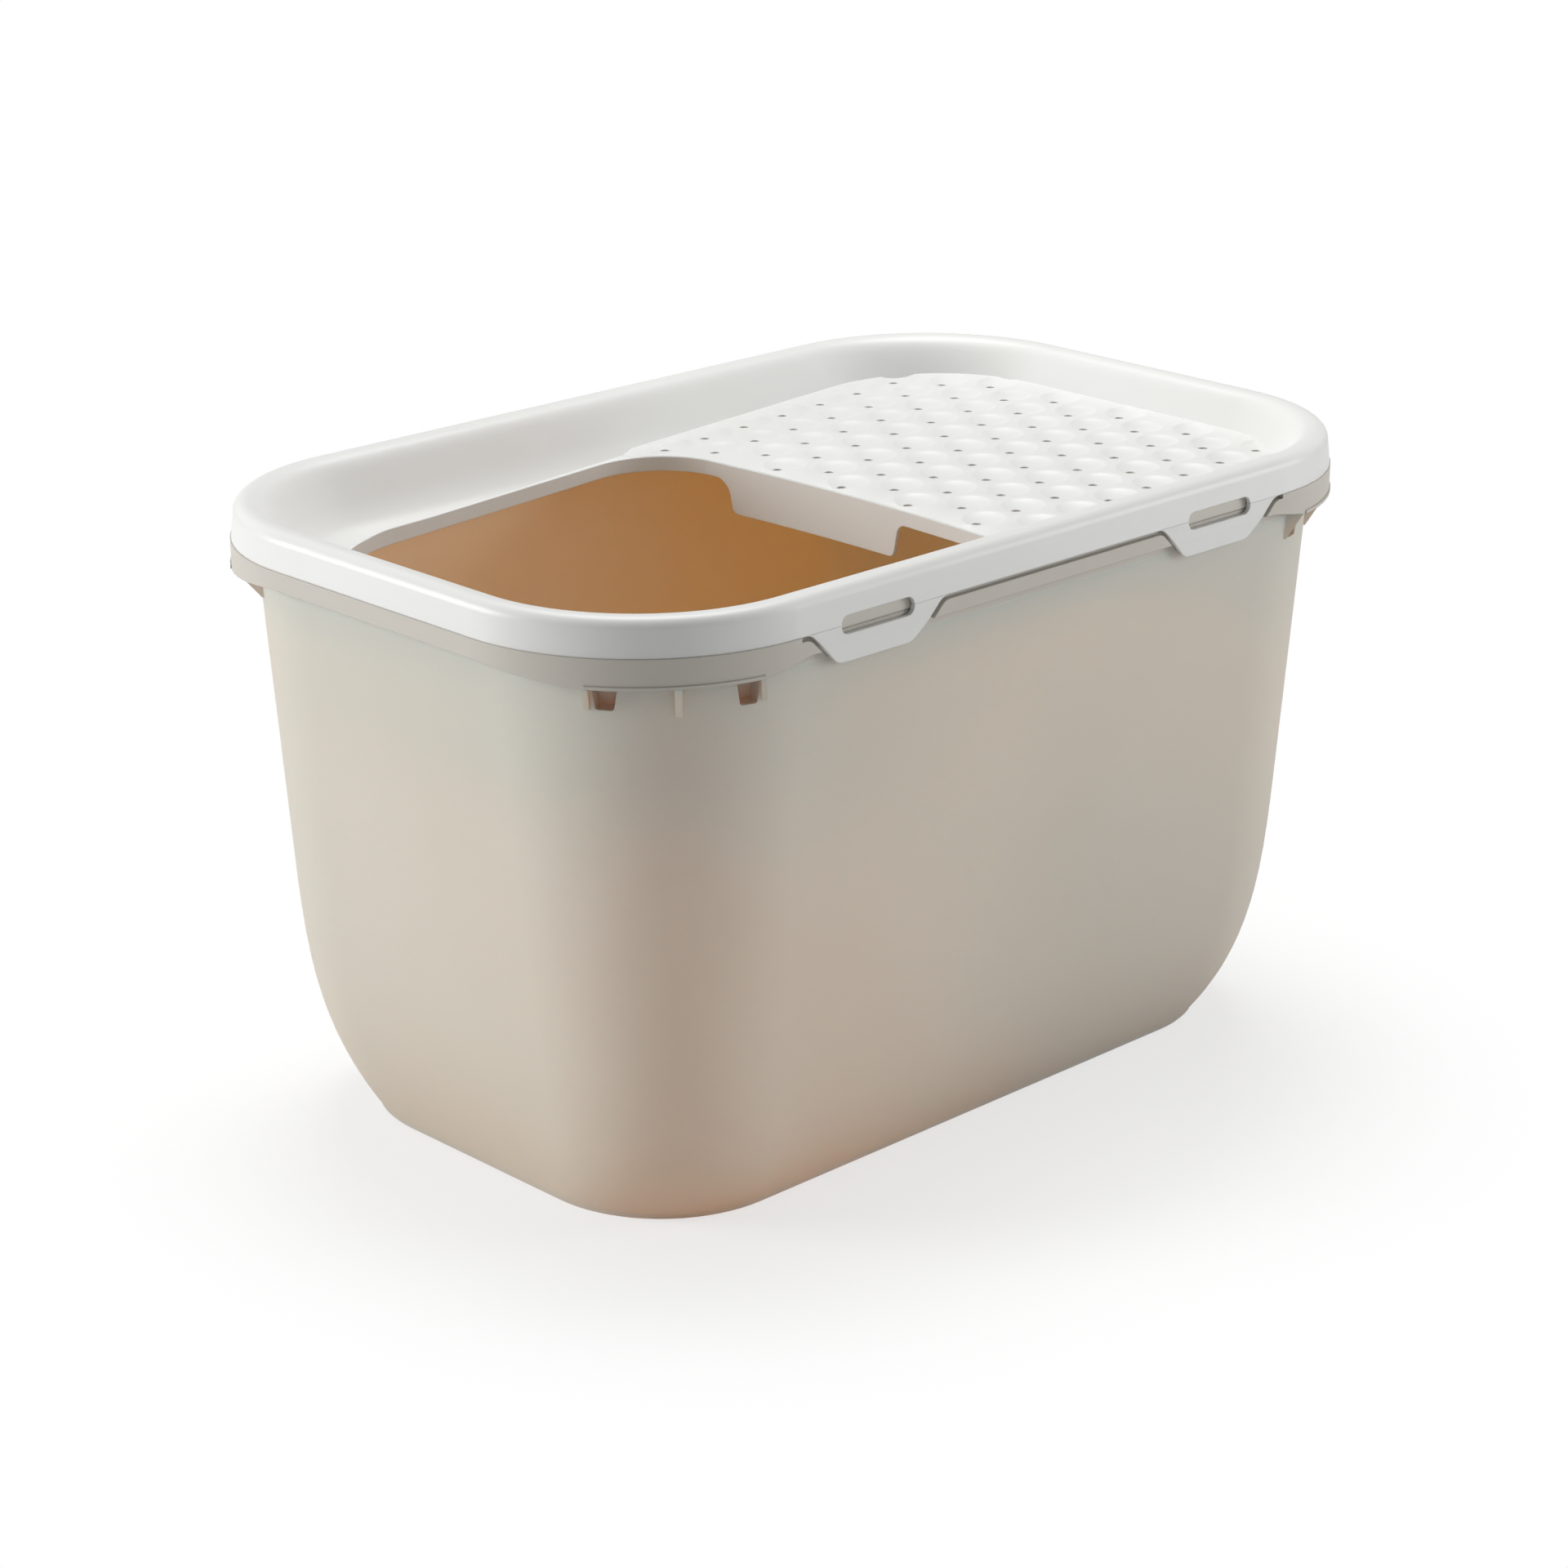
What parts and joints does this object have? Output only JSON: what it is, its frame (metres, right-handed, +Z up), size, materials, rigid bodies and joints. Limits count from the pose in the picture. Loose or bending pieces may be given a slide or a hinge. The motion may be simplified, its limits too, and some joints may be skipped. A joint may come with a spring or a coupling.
{
  "type": "top entry litter box",
  "caption": "Deep rounded litter tub with a lift-off lid that has a large entry hole, a tilted perforated deck and slotted snap tabs.",
  "frame": {"origin": "middle of the tub's floor, at the height of the surface that it stands on", "axes": "+X along the box away from the entry hole, +Y across it, +Z up"},
  "size_m": [0.585, 0.372, 0.34],
  "materials": {
    "tub_plastic": "fine matt",
    "lid_plastic": "satin"
  },
  "bodies": {
    "tub": {"tub": "tub_plastic"},
    "lid": {"lid": "lid_plastic"},
    "tab_front_left": {"tab_front_left": "lid_plastic"},
    "tab_front_right": {"tab_front_right": "lid_plastic"},
    "tab_back_left": {"tab_back_left": "lid_plastic"},
    "tab_back_right": {"tab_back_right": "lid_plastic"}
  },
  "joints": [
    {"name": "lid_lift", "type": "slide", "parent": "tub", "child": "lid", "axis": [0, 0, 1], "range_m": [0, 0.06]},
    {"name": "tab_front_left_flex", "type": "hinge", "parent": "lid", "child": "tab_front_left", "pos_m": [-0.128, -0.1855, 0.321], "axis": [-1, 0, 0], "range_deg": [0, 12], "stiffness_Nm_per_rad": 0.5},
    {"name": "tab_front_right_flex", "type": "hinge", "parent": "lid", "child": "tab_front_right", "pos_m": [0.128, -0.1855, 0.321], "axis": [-1, 0, 0], "range_deg": [0, 12], "stiffness_Nm_per_rad": 0.5},
    {"name": "tab_back_left_flex", "type": "hinge", "parent": "lid", "child": "tab_back_left", "pos_m": [-0.128, 0.1855, 0.321], "axis": [1, 0, 0], "range_deg": [0, 12], "stiffness_Nm_per_rad": 0.5},
    {"name": "tab_back_right_flex", "type": "hinge", "parent": "lid", "child": "tab_back_right", "pos_m": [0.128, 0.1855, 0.321], "axis": [1, 0, 0], "range_deg": [0, 12], "stiffness_Nm_per_rad": 0.5}
  ]
}
